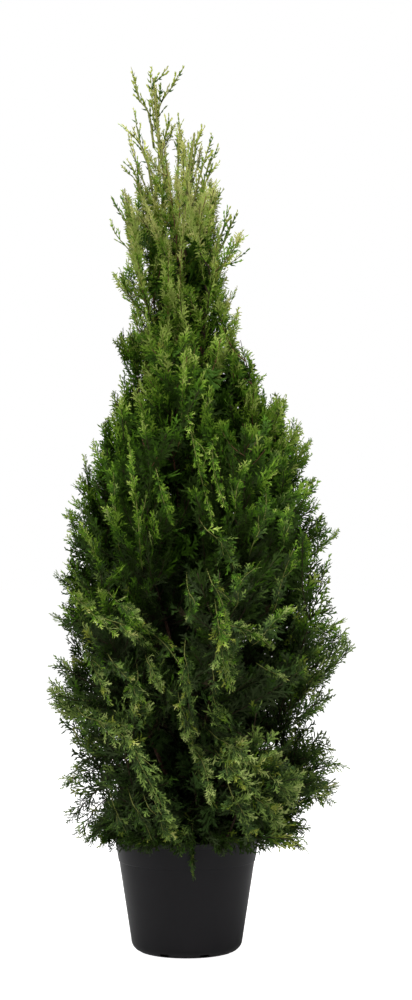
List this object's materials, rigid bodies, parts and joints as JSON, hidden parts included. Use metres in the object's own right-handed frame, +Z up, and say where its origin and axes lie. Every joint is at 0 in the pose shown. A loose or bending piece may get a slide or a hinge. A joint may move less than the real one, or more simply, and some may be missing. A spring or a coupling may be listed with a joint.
{
  "type": "potted thuja",
  "caption": "Young upright thuja in a round black nursery pot: a leaning trunk, upswept boughs and uneven masses of flat scale-leaf foliage, slim and open at the tip.",
  "frame": {"origin": "centre of the pot's flat underside", "axes": "+Z up along the plant, -Y towards the front of the crown, +X to the right seen from the front"},
  "size_m": [0.4819, 0.4724, 1.399],
  "materials": {
    "pot_plastic": "moulded, matte black with a soft sheen",
    "compost": "loose dark peat and bark crumbs",
    "bark": "fibrous red-brown bark in long strips",
    "foliage": "dense flat sprays of dark green scale leaves with fresh green tips",
    "young_foliage": "open sprays of light yellow-green scale leaves"
  },
  "bodies": {
    "root": {"pot": "pot_plastic", "compost": "compost", "trunk": "bark", "second_leader": "bark", "lower_bough_back": "bark", "lower_bough_back_right": "bark", "lower_bough_front": "bark", "lower_bough_front_left": "bark", "lower_bough_left": "bark", "lower_bough_right": "bark", "middle_bough_back_left": "bark", "middle_bough_back_right": "bark", "middle_bough_front_left": "bark", "middle_bough_front_right": "bark", "middle_bough_left": "bark", "middle_bough_right": "bark", "shoulder_bough_back": "bark", "shoulder_bough_front": "bark", "shoulder_bough_left": "bark", "shoulder_bough_right": "bark", "skirt_bough_back_left": "bark", "skirt_bough_back_right": "bark", "skirt_bough_front_left": "bark", "skirt_bough_front_right": "bark", "skirt_bough_left": "bark", "skirt_bough_right": "bark", "leader_fan": "young_foliage", "lower_foliage_back": "foliage", "lower_foliage_back_right": "foliage", "lower_foliage_front": "foliage", "lower_foliage_front_left": "foliage", "lower_foliage_left": "foliage", "lower_foliage_right": "foliage", "middle_foliage_back_left": "foliage", "middle_foliage_back_right": "foliage", "middle_foliage_front_left": "foliage", "middle_foliage_front_right": "foliage", "middle_foliage_left": "foliage", "middle_foliage_right": "foliage", "neck_foliage_back": "young_foliage", "neck_foliage_front_right": "young_foliage", "neck_foliage_left": "young_foliage", "second_leader_tuft": "young_foliage", "shoulder_foliage_back": "foliage", "shoulder_foliage_front": "foliage", "shoulder_foliage_left": "foliage", "shoulder_foliage_right": "foliage", "side_shoot_tuft": "young_foliage", "skirt_foliage_back_left": "foliage", "skirt_foliage_back_right": "foliage", "skirt_foliage_front_left": "foliage", "skirt_foliage_front_right": "foliage", "skirt_foliage_left": "foliage", "skirt_foliage_right": "foliage", "upper_foliage_back_left": "young_foliage", "upper_foliage_back_right": "young_foliage", "upper_foliage_front": "young_foliage", "weeping_spray": "foliage"}
  },
  "joints": []
}
